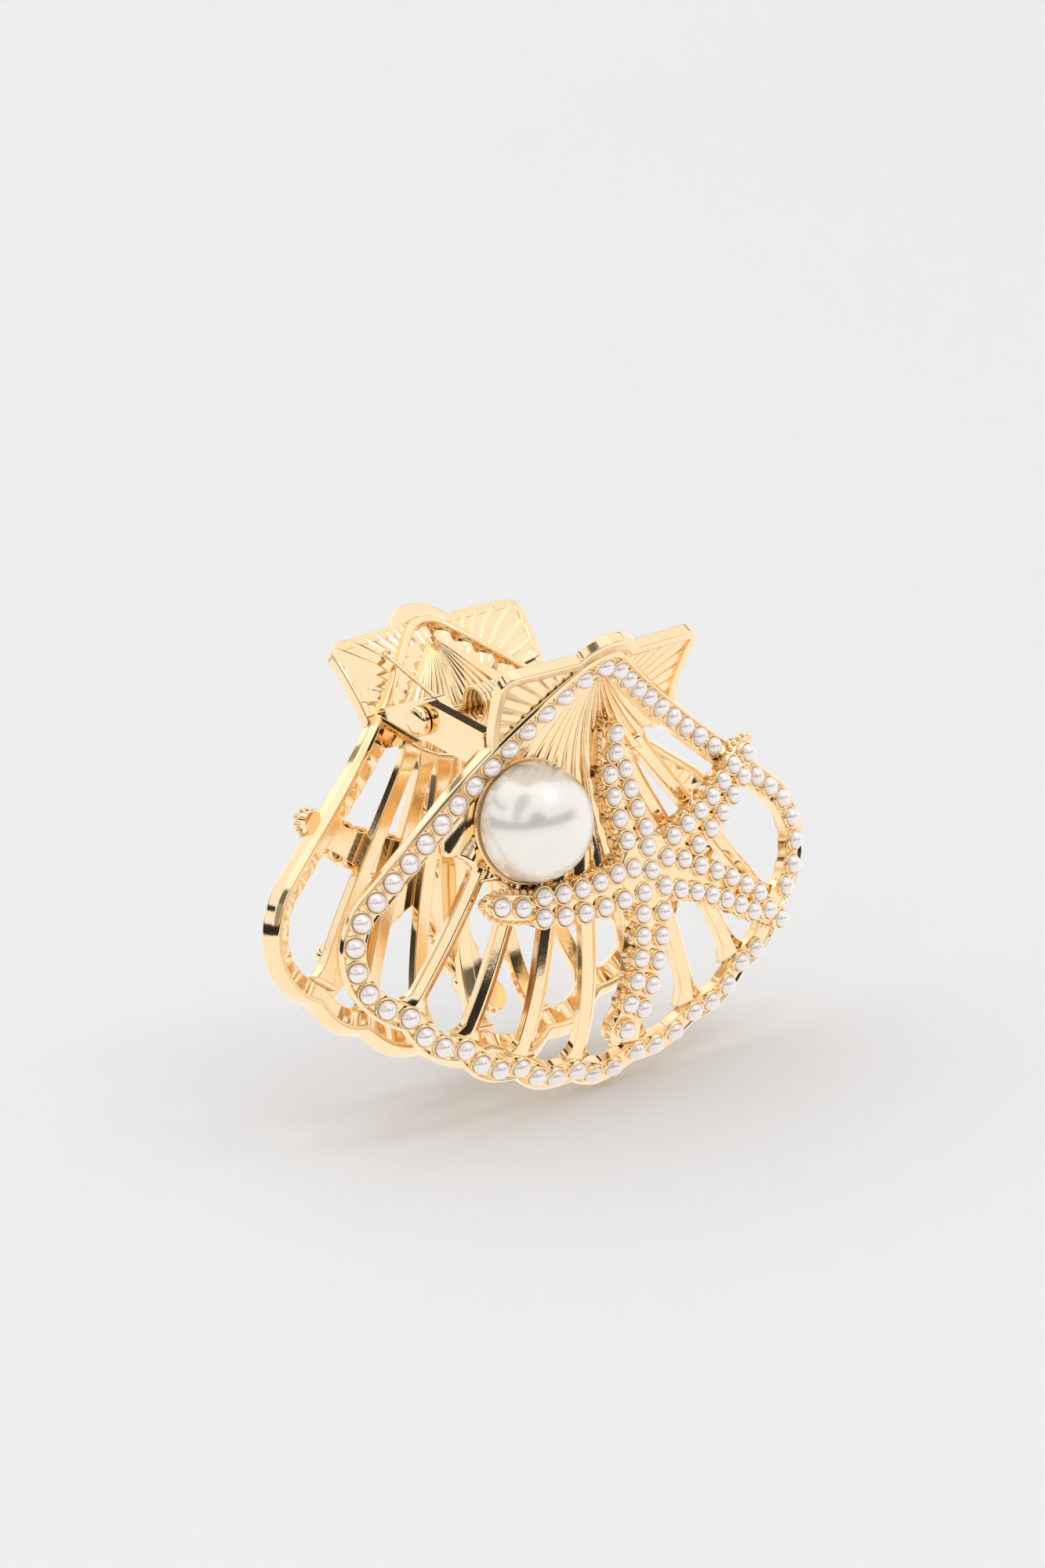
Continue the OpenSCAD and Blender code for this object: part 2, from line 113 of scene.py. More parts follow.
class ClawShell(bpy.types.PropertyGroup):
    """Sizes of the scallop shell that both jaws share."""
    fan_r: length("Fan radius", "Radius of the scalloped edge from the umbo, along the pearl line", 41.9)
    scallop_h: length("Scallop height", "How far a scallop stands out between two ribs", 0.85)
    corner_inset: length("Corner inset", "How much nearer the umbo the corner scallop's centre lies", 9.4)
    corner_r: length("Corner radius", "Radius of the corner scallop along the pearl line", 6.4)
    arch_r: length("Arch radius", "Radius of the arch over the umbo along the pearl line", 3.2)
    belly: length("Belly", "Depth of the jaw at its belly, from the middle plane", 11.5)
    tuck: length("Tuck", "How far the lower edge tucks in from the belly", 5.8)
    tuck_z: length("Tuck height", "Height where the tuck starts", 18)
    waist_in: length("Waist", "How much the jaw draws in at the waist", 1.0)
    waist_drop: length("Waist drop", "Drop of the waist below the umbo", 11.2)
    flare: length("Flare", "How far the handle flares out above the waist", 4.5)
    band_w: length("Band width", "Width of the rim band", 2.9)
    wall_d: length("Wall depth", "Depth of the wall along the rim's outer edge", 1.8)
    rib_w: length("Rib width", "Width of a rib", 1.7)
    rib_d: length("Rib depth", "Depth of a rib", 1.5)
    plate_r: length("Plate radius", "Radius of the solid fan from the arch's centre", 20.5)
    side_r: length("Side radius", "Radius of the solid fan away from the large pearl", 9.5)
    plate_t: length("Plate thickness", "Thickness of the solid fan and the ears", 1.1)
    ear_x: length("Ear tip", "Distance of an ear's tip from the middle plane", 11.9)
    ear_up: length("Ear height", "Height of an ear's tip above the umbo", 0.9)
    bump_h: length("Umbo bump", "Height of the umbo's bump above the handle's border", 1.3)


class ClawTrim(bpy.types.PropertyGroup):
    """Sizes of the starfish, the pearls and the hinge."""
    star_x: length("Starfish offset", "Distance of the starfish's centre from the middle plane", 4.5)
    star_drop: length("Starfish drop", "Drop of the starfish's centre below the umbo", 22.2)
    star_h: length("Starfish height", "Height that the starfish stands above the shell", 1.7)
    arm_root: length("Arm root", "Half width of an arm at its root", 3.0)
    arm_tip: length("Arm tip", "Half width of an arm near its tip", 1.4)
    bead_r: length("Bead radius", "Radius of the beads along the starfish's edges", 0.36)
    pearl_d: length("Small pearl", "Diameter of a small half pearl", 2.0)
    pearl_pitch: length("Pearl pitch", "Distance from one small pearl to the next", 2.5)
    large_d: length("Large pearl", "Diameter of the large half pearl", 12.0)
    large_run: length("Large pearl run", "Way from the arch down the left edge", 13.2)
    cup_h: length("Cup height", "Height of the large pearl's cup above the shell", 1.4)
    pin_r: length("Pin radius", "Radius of the hinge pin", 0.6)
    head_r: length("Pin head radius", "Radius of the pin's flat head", 1.55)
    wire_d: length("Wire diameter", "Diameter of the spring wire", 0.5)


class ClawFinish(bpy.types.PropertyGroup):
    """Colours of the plating and of the pearls."""
    gold: colour("Gold", "Pale champagne gold plating", (0.975, 0.78, 0.52))
    gold_deep: colour("Deep gold", "Plating where it is a little thicker", (0.96, 0.71, 0.40))
    steel: colour("Spring wire", "Plated spring wire", (0.93, 0.76, 0.50))
    pearl: colour("Small pearl", "White pearl lacquer", (0.98, 0.92, 0.90))
    pearl_shade: colour("Small pearl shade", "Rosier tone in the white lacquer", (0.96, 0.88, 0.86))
    cream: colour("Large pearl", "Cream pearl lacquer", (0.97, 0.93, 0.87))
    cream_shade: colour("Large pearl shade", "Warmer tone in the cream lacquer", (0.94, 0.88, 0.80))


class Sizes:
    """Every length property by its own name, in millimetres, with the sizes that follow from them."""

    def __init__(self):
        for group in (bpy.context.scene.claw_shell, bpy.context.scene.claw_trim):
            for key in group.__annotations__:
                setattr(self, key, getattr(group, key) / MM)
        self.fan_taper = 0.09
        self.scallop_a = 10.6
        self.bow = 0.0057
        self.band_t = 1.0
        self.edge_out = self.band_w / 2
        self.umbo_z = self.fan_r + self.scallop_h + self.edge_out
        self.arch_z = self.umbo_z - self.arch_r
        self.cusp_a = 3.5 * self.scallop_a
        corner = self.fan_r - self.corner_inset
        self.corner = np.array([0, self.umbo_z]) + corner * heading(41.6)
        run = self.corner - np.array([0, self.arch_z])
        lean = math.degrees(math.asin((self.corner_r - self.arch_r) / math.hypot(*run)))
        self.edge_a = 180 + lean - math.degrees(math.atan2(-run[1], run[0]))
        self.waist_z = self.umbo_z - self.waist_drop
        self.ear_z = self.umbo_z + self.ear_up
        self.star = np.array([self.star_x, self.umbo_z - self.star_drop])
        beside = (self.large_d + self.pearl_d) / 2 - 0.05
        self.large = (np.array([0, self.arch_z]) + (self.arch_r - beside) * heading(self.edge_a)
                      + self.large_run * heading(self.edge_a - 90)) * np.array([-1, 1])


def heading(a):
    """Unit direction at angle a in degrees from straight down, in the plane of the shell."""
    a = np.radians(a)
    return np.stack([np.sin(a), -np.cos(a)], -1)


def ease(t):
    """Smooth step: 3t^2 - 2t^3, held at 0 and 1 outside."""
    t = np.clip(t, 0, 1)
    return t * t * (3 - 2 * t)


def depth(s, x, z):
    """Depth of the shell's face: belly, less a cubic tuck, an eased waist and a bow, plus a square flare."""
    tuck = s.tuck * np.maximum(0, (s.tuck_z - z) / s.tuck_z) ** 3
    waist = s.waist_in * ease((z - s.tuck_z) / (s.waist_z - s.tuck_z))
    flare = s.flare * np.maximum(0, (z - s.waist_z) / (s.umbo_z - s.waist_z)) ** 2
    return s.belly - tuck - waist + flare - s.bow * x * x


def out(s, x, z, h=0.05):
    """Unit normal of the shell's face, from central differences of its depth."""
    sx = (depth(s, x + h, z) - depth(s, x - h, z)) / (2 * h)
    sz = (depth(s, x, z + h) - depth(s, x, z - h)) / (2 * h)
    v = np.stack([-sx, -np.ones_like(sx), -sz], -1)
    return v / np.linalg.norm(v, axis=-1, keepdims=True)


def on_shell(s, p, w=0.0):
    """Points on the front jaw's face at p = (x, z), raised by w along the face's normal."""
    x, z = p[..., 0], p[..., 1]
    face = np.stack([x, -depth(s, x, z), z], -1)
    return face + np.asarray(w)[..., None] * out(s, x, z)


def frames(s, p):
    """For each p, its point on the face and an orthonormal frame with the normal last."""
    n = out(s, p[..., 0], p[..., 1])
    a = np.cross(np.array([0.0, 0.0, 1.0]), n)
    a /= np.linalg.norm(a, axis=-1, keepdims=True)
    return on_shell(s, p), np.stack([a, np.cross(n, a), n], -2)


def rounded(corners, radius, steps=3):
    """Closed outline: each corner becomes a short arc, with a point either side to keep the flats flat."""
    c = np.asarray(corners, float)
    before, after = np.roll(c, 1, 0) - c, np.roll(c, -1, 0) - c
    lb = np.linalg.norm(before, axis=1, keepdims=True)
    la = np.linalg.norm(after, axis=1, keepdims=True)
    r = np.minimum(radius, 0.35 * np.minimum(lb, la))
    t = np.linspace(0, 1, steps + 1)[None, :, None]
    a, b = (c + before / lb * r)[:, None], (c + after / la * r)[:, None]
    arc = (1 - t) ** 2 * a + 2 * t * (1 - t) * c[:, None] + t ** 2 * b
    guard_a, guard_b = a + 0.4 * (a - c[:, None]), b + 0.4 * (b - c[:, None])
    return np.concatenate([guard_a, arc, guard_b], 1).reshape(-1, 2)


def resample(points, n, closed=False):
    """n points at equal steps along a polyline, by its own length."""
    p = np.concatenate([points, points[:1]]) if closed else points
    run = np.concatenate([[0], np.cumsum(np.linalg.norm(np.diff(p, axis=0), axis=1))])
    at = np.linspace(0, run[-1], n + 1)[:-1] if closed else np.linspace(0, run[-1], n)
    return np.stack([np.interp(at, run, p[:, k]) for k in range(p.shape[1])], -1)


# ---------------------------------------------------------------- meshes

def add_piece(name, verts, faces, body, slot, replaces=(), smooth=True):
    """Make one mesh object from arrays in millimetres, ride it on its body and name its slot."""
    mesh = bpy.data.meshes.new(name)
    mesh.from_pydata((verts * MM).tolist(), [], faces)
    mesh.update()
    mesh.polygons.foreach_set("use_smooth", np.full(len(mesh.polygons), smooth))
    obj = bpy.data.objects.new(name, mesh)
    bpy.context.scene.collection.objects.link(obj)
    obj.data.materials.append(bpy.data.materials[slot])
    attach(obj, body)
    for node in replaces:
        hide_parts(node)
    return obj


def grid_faces(n, m, wrap_n=False, wrap_m=False, start=0):
    """Quads of an n by m grid of points, wrapped in either direction."""
    i = np.arange(n if wrap_n else n - 1)[:, None]
    j = np.arange(m if wrap_m else m - 1)[None, :]
    k, l = (i + 1) % n, (j + 1) % m
    q = np.stack(np.broadcast_arrays(i * m + j, i * m + l, k * m + l, k * m + j), -1)
    return (q.reshape(-1, 4) + start).tolist()


def tube(rings, closed=False):
    """Skin over rings of points, capped at both ends with fans round a middle point."""
    n, m = rings.shape[:2]
    verts, faces = rings.reshape(-1, 3), grid_faces(n, m, closed, True)
    if not closed:
        verts = np.concatenate([verts, rings[[0, -1]].mean(1)])
        j = np.arange(m)
        l = (j + 1) % m
        faces += np.stack([np.full(m, n * m), l, j], -1).tolist()
        last = (n - 1) * m
        faces += np.stack([np.full(m, n * m + 1), last + j, last + l], -1).tolist()
    return verts, faces


def slab(top, bottom):
    """Closed sheet between two grids, with straight quads round its four sides."""
    n, m = top.shape[:2]
    size = n * m
    faces = grid_faces(n, m)
    faces += [f[::-1] for f in grid_faces(n, m, start=size)]
    ids = np.arange(size).reshape(n, m)
    loop = np.concatenate([ids[0], ids[1:, -1], ids[-1, -2::-1], ids[-2:0:-1, 0]])
    nxt = np.roll(loop, -1)
    faces += np.stack([nxt, loop, loop + size, nxt + size], -1).tolist()
    return np.concatenate([top.reshape(-1, 3), bottom.reshape(-1, 3)]), faces


def lathe(profile, turns=32):
    """Points of a profile (r, h) turned round the h axis, closed at both ends where r is 0."""
    a = np.linspace(0, 2 * np.pi, turns, endpoint=False)
    r, h = profile[:, 0][:, None], profile[:, 1][:, None]
    rings = np.stack([r * np.cos(a), r * np.sin(a), np.broadcast_to(h, (len(profile), turns))], -1)
    return tube(rings)


def joined(parts):
    """One list of vertices and faces from several."""
    verts, faces, base = [], [], 0
    for v, f in parts:
        verts.append(v)
        faces += (np.array(f) + base).tolist() if len({len(q) for q in f}) == 1 else [
            [i + base for i in q] for q in f]
        base += len(v)
    return np.concatenate(verts), faces


def copies(shape, points, turns):
    """The same shape at many points, each turned by its own frame."""
    v, f = shape
    verts = points[:, None] + np.einsum("vk,nkc->nvc", v, turns)
    faces = []
    for k in range(len(points)):
        faces += [[i + k * len(v) for i in q] for q in f]
    return verts.reshape(-1, 3), faces


def for_jaw(verts, jaw):
    """The rear jaw is the front jaw turned half round about the upright axis."""
    return verts if jaw == "front" else verts * np.array([-1.0, -1.0, 1.0])


def body_of(jaw):
    return jaw + "_jaw"


# ---------------------------------------------------------------- lines on the shell

def edge_r(s, a):
    """Radius of the pearl line at angle a: it shortens to the sides and swells in each scallop."""
    wave = np.sqrt(np.cos(np.radians(180 * a / s.scallop_a)) ** 2 + 0.004)
    return s.fan_r - s.fan_taper * np.abs(a) + s.scallop_h * wave


def half_line(s, n=60):
    """Right half of the pearl line from the lowest scallop to the umbo, with its outward directions."""
    umbo, arch = np.array([0, s.umbo_z]), np.array([0, s.arch_z])
    a = np.linspace(0, s.cusp_a, 4 * n)
    lobes = umbo + edge_r(s, a)[:, None] * heading(a)
    rel = lobes[-1] - s.corner
    a0 = math.degrees(math.atan2(rel[0], -rel[1]))
    t = np.linspace(0, 1, 2 * n)[1:]
    swell = np.linalg.norm(rel) - s.corner_r
    radius = s.corner_r + swell * np.maximum(0, 1 - 3 * t) ** 2
    corner = s.corner + radius[:, None] * heading(a0 + t * (s.edge_a - a0))
    top = arch + s.arch_r * heading(s.edge_a)
    edge = corner[-1] + (top - corner[-1]) * t[:, None]
    b = s.edge_a + (180 - s.edge_a) * t
    arc = arch + s.arch_r * heading(b)
    line = np.concatenate([lobes, corner, edge, arc])
    ways = np.concatenate([heading(a), heading(s.cusp_a + t * (s.edge_a - s.cusp_a)),
                           np.broadcast_to(heading(s.edge_a), edge.shape), heading(b)])
    return np.concatenate([line, ways], 1)


def rim_line(s, n):
    """The whole pearl line, n points at equal steps, each (x, z, outward x, outward z)."""
    half = half_line(s)
    other = half[-2:0:-1] * np.array([-1, 1, -1, 1])
    line = np.concatenate([half, other])
    at = on_shell(s, line[:, :2])
    packed = resample(np.concatenate([at, line], 1)[:, 3:], n, closed=True)
    packed[:, 2:] /= np.linalg.norm(packed[:, 2:], axis=1, keepdims=True)
    return packed


# Starfish arms: tip from the centre, and how far the arm's middle bends sideways.
ARMS = (((-2.4, 16.0), 0.8), ((17.4, 9.4), -1.2), ((18.2, -10.0), 1.0),
        ((-5.4, -16.4), 1.2), ((-19.2, 0.9), 1.4))


def arm_line(s, k, t):
    """Point on arm k at t from 0 to 1, bent by a half sine, and the direction to its side."""
    tip, bend = np.array(ARMS[k][0]), ARMS[k][1]
    side = np.array([-tip[1], tip[0]]) / np.linalg.norm(tip)
    t = np.asarray(t, float)

    def at(u):
        return s.star + u[..., None] * tip + side * (bend * np.sin(np.pi * u))[..., None]
    step = at(t + 0.01) - at(t - 0.01)
    step /= np.linalg.norm(step, axis=-1, keepdims=True)
    return at(t), np.stack([-step[..., 1], step[..., 0]], -1)


def arm_half(s, t):
    """Half width of an arm: it narrows from root to tip."""
    return s.arm_root + (s.arm_tip - s.arm_root) * np.clip(t, 0, 1) ** 0.7


def clear_of_star(s, p):
    """Which points of p lie clear of every arm by more than a pearl's radius."""
    t = np.linspace(0, 1, 25)
    near = np.full(len(p), np.inf)
    for k in range(len(ARMS)):
        gap = np.linalg.norm(p[:, None] - arm_line(s, k, t)[0][None], axis=-1) - arm_half(s, t)
        near = np.minimum(near, gap.min(1))
    return near > s.pearl_d / 2 + 0.1


def clear_of_large(s, p):
    """Which points of p lie clear of the large pearl."""
    gap = np.linalg.norm(on_shell(s, p, SEAT) - on_shell(s, s.large, s.cup_h), axis=-1)
    return gap > s.large_d / 2 + s.pearl_d / 2 + SEAT


def rim_pearls(s):
    """Places of the rim pearls by group: three to a scallop, then at equal steps up each edge."""
    a = s.scallop_a * (np.arange(-11, 11) + 0.5) / 3
    lobes = np.array([0, s.umbo_z]) + edge_r(s, a)[:, None] * heading(a)
    run = half_line(s)[::-1, :2]
    run = run[:np.argmin(np.linalg.norm(run - lobes[-1], axis=1))]
    at = on_shell(s, run)
    dist = np.concatenate([[0], np.cumsum(np.linalg.norm(np.diff(at, axis=0), axis=1))])
    steps = np.arange(0, dist[-1], s.pearl_pitch)
    right = np.stack([np.interp(steps, dist, run[:, c]) for c in (0, 1)], -1)
    last = np.linalg.norm(on_shell(s, right) - on_shell(s, lobes[-1]), axis=1)
    right = right[last > s.pearl_d + 0.1]
    left = right[1:] * np.array([-1, 1])
    groups = {"lobe_pearls": lobes, "left_edge_pearls": left, "right_edge_pearls": right}
    return {k: p[clear_of_star(s, p) & clear_of_large(s, p)] for k, p in groups.items()}


def star_pearls(s):
    """Places of the starfish's pearls by group: two rows to an arm and a ring on the middle."""
    pitch, start = s.pearl_d * 1.14, s.arm_root * 1.35
    groups = {}
    for k, (tip, _) in enumerate(ARMS):
        reach = math.hypot(*tip)
        rows = math.floor((reach - start - s.arm_tip * 0.4) / pitch)
        t = (start + np.arange(rows + 1) * pitch) / reach
        p, side = arm_line(s, k, t)
        half = ((arm_half(s, t) + 0.25) / 2)[:, None]
        pairs = (half > s.pearl_d * 0.46 + 0.02)[:, 0]
        left, right = (p + side * half)[pairs], (p - side * half)[pairs]
        before = groups[f"arm_{k}_pearls"][:1] if k else left[:1] + 99
        crowded = np.linalg.norm(left[:1] - before) < s.pearl_d * STAR_PEARL + 0.1
        groups[f"arm_{k + 1}_pearls"] = np.concatenate([right, left[int(crowded):], p[~pairs]])
    ring = s.star + 2.35 * heading(72 * np.arange(5) + 36)
    groups["star_centre_pearls"] = np.concatenate([s.star[None], ring])
    return groups


# ---------------------------------------------------------------- shader helper

class Wire:
    """One socket of a node tree, with maths written as Python expressions."""

    def __init__(self, tree, socket):
        self.tree, self.socket = tree, socket

    def _maths(self, kind, *values):
        return shade(self.tree, "ShaderNodeMath", {"operation": kind}, *values)

    def __add__(self, other):
        return self._maths("ADD", self, other)

    def __radd__(self, other):
        return self._maths("ADD", other, self)

    def __sub__(self, other):
        return self._maths("SUBTRACT", self, other)

    def __rsub__(self, other):
        return self._maths("SUBTRACT", other, self)

    def __mul__(self, other):
        return self._maths("MULTIPLY", self, other)

    def __rmul__(self, other):
        return self._maths("MULTIPLY", other, self)

    def __pow__(self, other):
        return self._maths("POWER", self, other)


def shade(tree, kind, settings=None, *values, out=0, **named):
    """Add a node: first its settings, then its sockets by place or by name; return one output."""
    node = tree.nodes.new(kind)
    for key, value in (settings or {}).items():
        setattr(node, key, value)
    for key, value in list(enumerate(values)) + list(named.items()):
        socket = node.inputs[key.replace("_", " ") if isinstance(key, str) else key]
        if isinstance(value, Wire):
            tree.links.new(value.socket, socket)
        elif isinstance(value, (tuple, list)) and len(value) == 3 and socket.type == "RGBA":
            socket.default_value = (*value, 1)
        else:
            socket.default_value = value
    return Wire(tree, node.outputs[out])


def blank_material(name):
    """A material with only its output, its principled shader and its object coordinates."""
    mat = bpy.data.materials.get(name) or bpy.data.materials.new(name)
    mat.use_nodes = True
    tree = mat.node_tree
    tree.nodes.clear()
    bsdf = tree.nodes.new("ShaderNodeBsdfPrincipled")
    end = tree.nodes.new("ShaderNodeOutputMaterial")
    tree.links.new(bsdf.outputs[0], end.inputs[0])
    place = shade(tree, "ShaderNodeTexCoord", out="Object")
    return tree, bsdf, place


def feed(tree, bsdf, **links):
    for key, wire in links.items():
        tree.links.new(wire.socket, bsdf.inputs[key.replace("_", " ")])


def noise(tree, place, scale, detail=3.0):
    return shade(tree, "ShaderNodeTexNoise", None, Vector=place, Scale=scale, Detail=detail)


def plated_metal(name, light, deep, rough, grain):
    """Polished plating: two close golds in soft clouds, uneven polish and a very fine pitted bump."""
    tree, bsdf, place = blank_material(name)
    clouds = noise(tree, place, 260.0)
    fine = noise(tree, place, 2600.0, 4.0)
    tint = shade(tree, "ShaderNodeMix", {"data_type": "RGBA"}, out=2)
    mix = tint.socket.node
    tree.links.new((clouds * 1.4 - 0.2).socket, mix.inputs[0])
    mix.inputs[6].default_value, mix.inputs[7].default_value = (*light, 1), (*deep, 1)
    polish = rough + 0.08 * clouds * fine
    bump = shade(tree, "ShaderNodeBump", None, Strength=grain, Distance=0.00004, Height=fine)
    feed(tree, bsdf, Base_Color=tint, Roughness=polish, Normal=bump)
    bsdf.inputs["Metallic"].default_value = 1.0


def pearl_lacquer(name, light, shade_rgb, rough, coat):
    """Pearl lacquer: a bright body with faint clouds under a clear coat with a trace of pitting."""
    tree, bsdf, place = blank_material(name)
    clouds = noise(tree, place, 420.0, 2.0)
    fine = noise(tree, place, 3000.0, 3.0)
    tint = shade(tree, "ShaderNodeMix", {"data_type": "RGBA"}, out=2)
    mix = tint.socket.node
    tree.links.new((clouds * 1.2 - 0.1).socket, mix.inputs[0])
    mix.inputs[6].default_value, mix.inputs[7].default_value = (*light, 1), (*shade_rgb, 1)
    polish = rough + 0.06 * fine
    bump = shade(tree, "ShaderNodeBump", None, Strength=0.05, Distance=0.00003, Height=fine)
    feed(tree, bsdf, Base_Color=tint, Roughness=polish, Normal=bump)
    bsdf.inputs["Metallic"].default_value = 0.4
    bsdf.inputs["Coat Weight"].default_value = coat
    bsdf.inputs["Coat Roughness"].default_value = 0.05
    bsdf.inputs["Coat IOR"].default_value = 1.7


# ---------------------------------------------------------------- operators

class ClawOperator:
    bl_options = {"REGISTER", "UNDO"}


class CLAW_OT_materials(ClawOperator, bpy.types.Operator):
    """Make the plating and pearl lacquers and give them to the kept CAD nodes"""
    bl_idname = "claw.materials"
    bl_label = "Materials"

    def execute(self, context):
        f = context.scene.claw_finish
        plated_metal("plated_casting", f.gold, f.gold_deep, 0.07, 0.10)
        plated_metal("pin_metal", f.gold, f.gold_deep, 0.10, 0.15)
        plated_metal("spring_wire", f.steel, f.gold_deep, 0.14, 0.20)
        pearl_lacquer("small_pearl", f.pearl, f.pearl_shade, 0.24, 1.0)
        pearl_lacquer("large_pearl", f.cream, f.cream_shade, 0.26, 1.0)
        for obj in bpy.data.objects:
            if obj.type == "MESH" and obj.name.endswith("_lugs"):
                obj.data.materials.clear()
                obj.data.materials.append(bpy.data.materials["plated_casting"])
        return {"FINISHED"}


class CLAW_OT_rims(ClawOperator, bpy.types.Operator):
    """Sweep the rim band of each jaw: outer wall, ridge, pearl floor and scalloped inner lip"""
    bl_idname = "claw.rims"
    bl_label = "Rims"

    def execute(self, context):
        s = Sizes()
        line = rim_line(s, 620)
        p, way = line[:, :2], line[:, 2:]
        e, t = s.edge_out, s.band_t
        profile = rounded([(-e + 0.25, 0.06), (-e + 0.25, -t), (e - 0.85, -t), (e - 0.8, -s.wall_d),
                           (e - 0.25, -s.wall_d), (e - 0.02, -s.wall_d * 0.6), (e + 0.02, 0.08),
                           (e - 0.32, 0.46), (e - 0.6, 0.08),
                           (-e + 0.5, -0.02)], 0.14)
        seats = np.concatenate(list(rim_pearls(s).values()))
        at = on_shell(s, p)
        gap = np.linalg.norm(at[:, None] - on_shell(s, seats)[None], axis=-1).min(1)
        d = np.broadcast_to(profile[:, 0], (len(p), len(profile)))
        w = np.broadcast_to(profile[:, 1], d.shape).copy()
        back = (w < -0.5 * t) & (d < e - 0.9)
        w -= np.where(back, 0.45 * np.exp(-(gap[:, None] / 0.75) ** 2) * np.exp(-(d / 1.1) ** 2), 0)
        rings = on_shell(s, p[:, None] + way[:, None] * d[..., None], w)
        verts, faces = tube(rings, closed=True)
        for jaw in JAWS:
            add_piece(jaw + "_rim_band", for_jaw(verts, jaw), faces, body_of(jaw), "plated_casting",
                      [jaw + "_rim"])
        return {"FINISHED"}


class CLAW_OT_ribs(ClawOperator, bpy.types.Operator):
    """Sweep the eight roof shaped ribs of each jaw, wider where they meet the rim and the fan"""
    bl_idname = "claw.ribs"
    bl_label = "Ribs"

    def execute(self, context):
        s = Sizes()
        parts = []
        t = np.linspace(0, 1, 48)
        flare = 1 + 1.1 * np.maximum(0, (t - 0.9) / 0.1) ** 2 + 0.7 * np.maximum(0, (0.1 - t) / 0.1) ** 2
        h = s.rib_w / 2
        profile = rounded([(0, 0.15), (-h, -0.45), (-h, -s.rib_d), (h, -s.rib_d), (h, -0.45)], 0.12)
        for a in s.scallop_a * (np.arange(-4, 4) + 0.5):
            r0 = s.arch_r + plate_reach(s, a) - 1.5
            r1 = edge_r(s, a) - s.edge_out + 0.55
            p = np.array([0, s.umbo_z]) + (r0 + (r1 - r0) * t)[:, None] * heading(a)
            side = heading(a + 90)
            x = profile[:, 0] * flare[:, None]
            ring = on_shell(s, p[:, None] + side * x[..., None], np.broadcast_to(profile[:, 1], x.shape))
            parts.append(tube(ring))
        verts, faces = joined(parts)
        for jaw in JAWS:
            add_piece(jaw + "_rib_bars", for_jaw(verts, jaw), faces, body_of(jaw), "plated_casting",
                      [jaw + "_ribs"])
        return {"FINISHED"}


def plate_reach(s, a):
    """Radius of the solid fan: long above the large pearl, and an eased step down to the other side."""
    return s.plate_r + (s.side_r - s.plate_r) * ease((a - 3) / 13)


class CLAW_OT_fans(ClawOperator, bpy.types.Operator):
    """Lay the fluted sheet of each jaw: rounded flutes that deepen from the umbo to the lower edge"""
    bl_idname = "claw.fans"
    bl_label = "Fluted fans"

    def execute(self, context):
        s = Sizes()
        flutes = 15
        u = np.linspace(-1, 1, flutes * 14 + 1)[None, :]
        v = np.linspace(0, 1, 56)[:, None]
        half = s.edge_a - 90
        rib_wave = 1 - np.abs(np.cos(np.radians(180 * u * half / s.scallop_a)))
        r_in, r_out = -1.5, plate_reach(s, u * half) + 1.1 * rib_wave - 0.3
        r = r_in + (r_out - r_in) * v
        p = (np.array([0, s.arch_z]) + r[..., None] * heading(u * half)
             + (u * (s.arch_r - 0.9))[..., None] * heading(u * half + 90))
        sweep = u + 0.05 * np.sin(np.pi * v) * np.sign(u) * (1 - np.abs(u))
        wave = np.abs(np.cos(np.pi * flutes * sweep / 2)) ** 0.75
        high = (0.12 + 0.5 * v) * ease(4 * (1 - np.abs(u)))
        top = -0.42 + high * wave
        verts, faces = slab(on_shell(s, p, top), on_shell(s, p, -0.42 - s.plate_t + high * wave * 0.8))
        for jaw in JAWS:
            add_piece(jaw + "_fluted_fan", for_jaw(verts, jaw), faces, body_of(jaw), "plated_casting",
                      [jaw + "_fan"])
        return {"FINISHED"}


def ear_grid(s, n=70, m=60):
    """Right ear between the rim and the handle's border: a bilinear patch of four corners."""
    arch = np.array([0, s.arch_z])
    reach = s.arch_r + s.edge_out - 0.5
    low = arch + reach * heading(s.edge_a) + 11.4 * heading(s.edge_a - 90)
    inner = arch + reach * heading(s.edge_a + 30)
    high_in, tip = np.array([1.6, s.ear_z + 0.3]), np.array([s.ear_x - 0.2, s.ear_z - 0.2])
    a = np.linspace(0, 1, n)[:, None, None]
    b = np.linspace(1, 0, m)[None, :, None]
    return (1 - a) * ((1 - b) * inner + b * low) + a * ((1 - b) * high_in + b * tip)


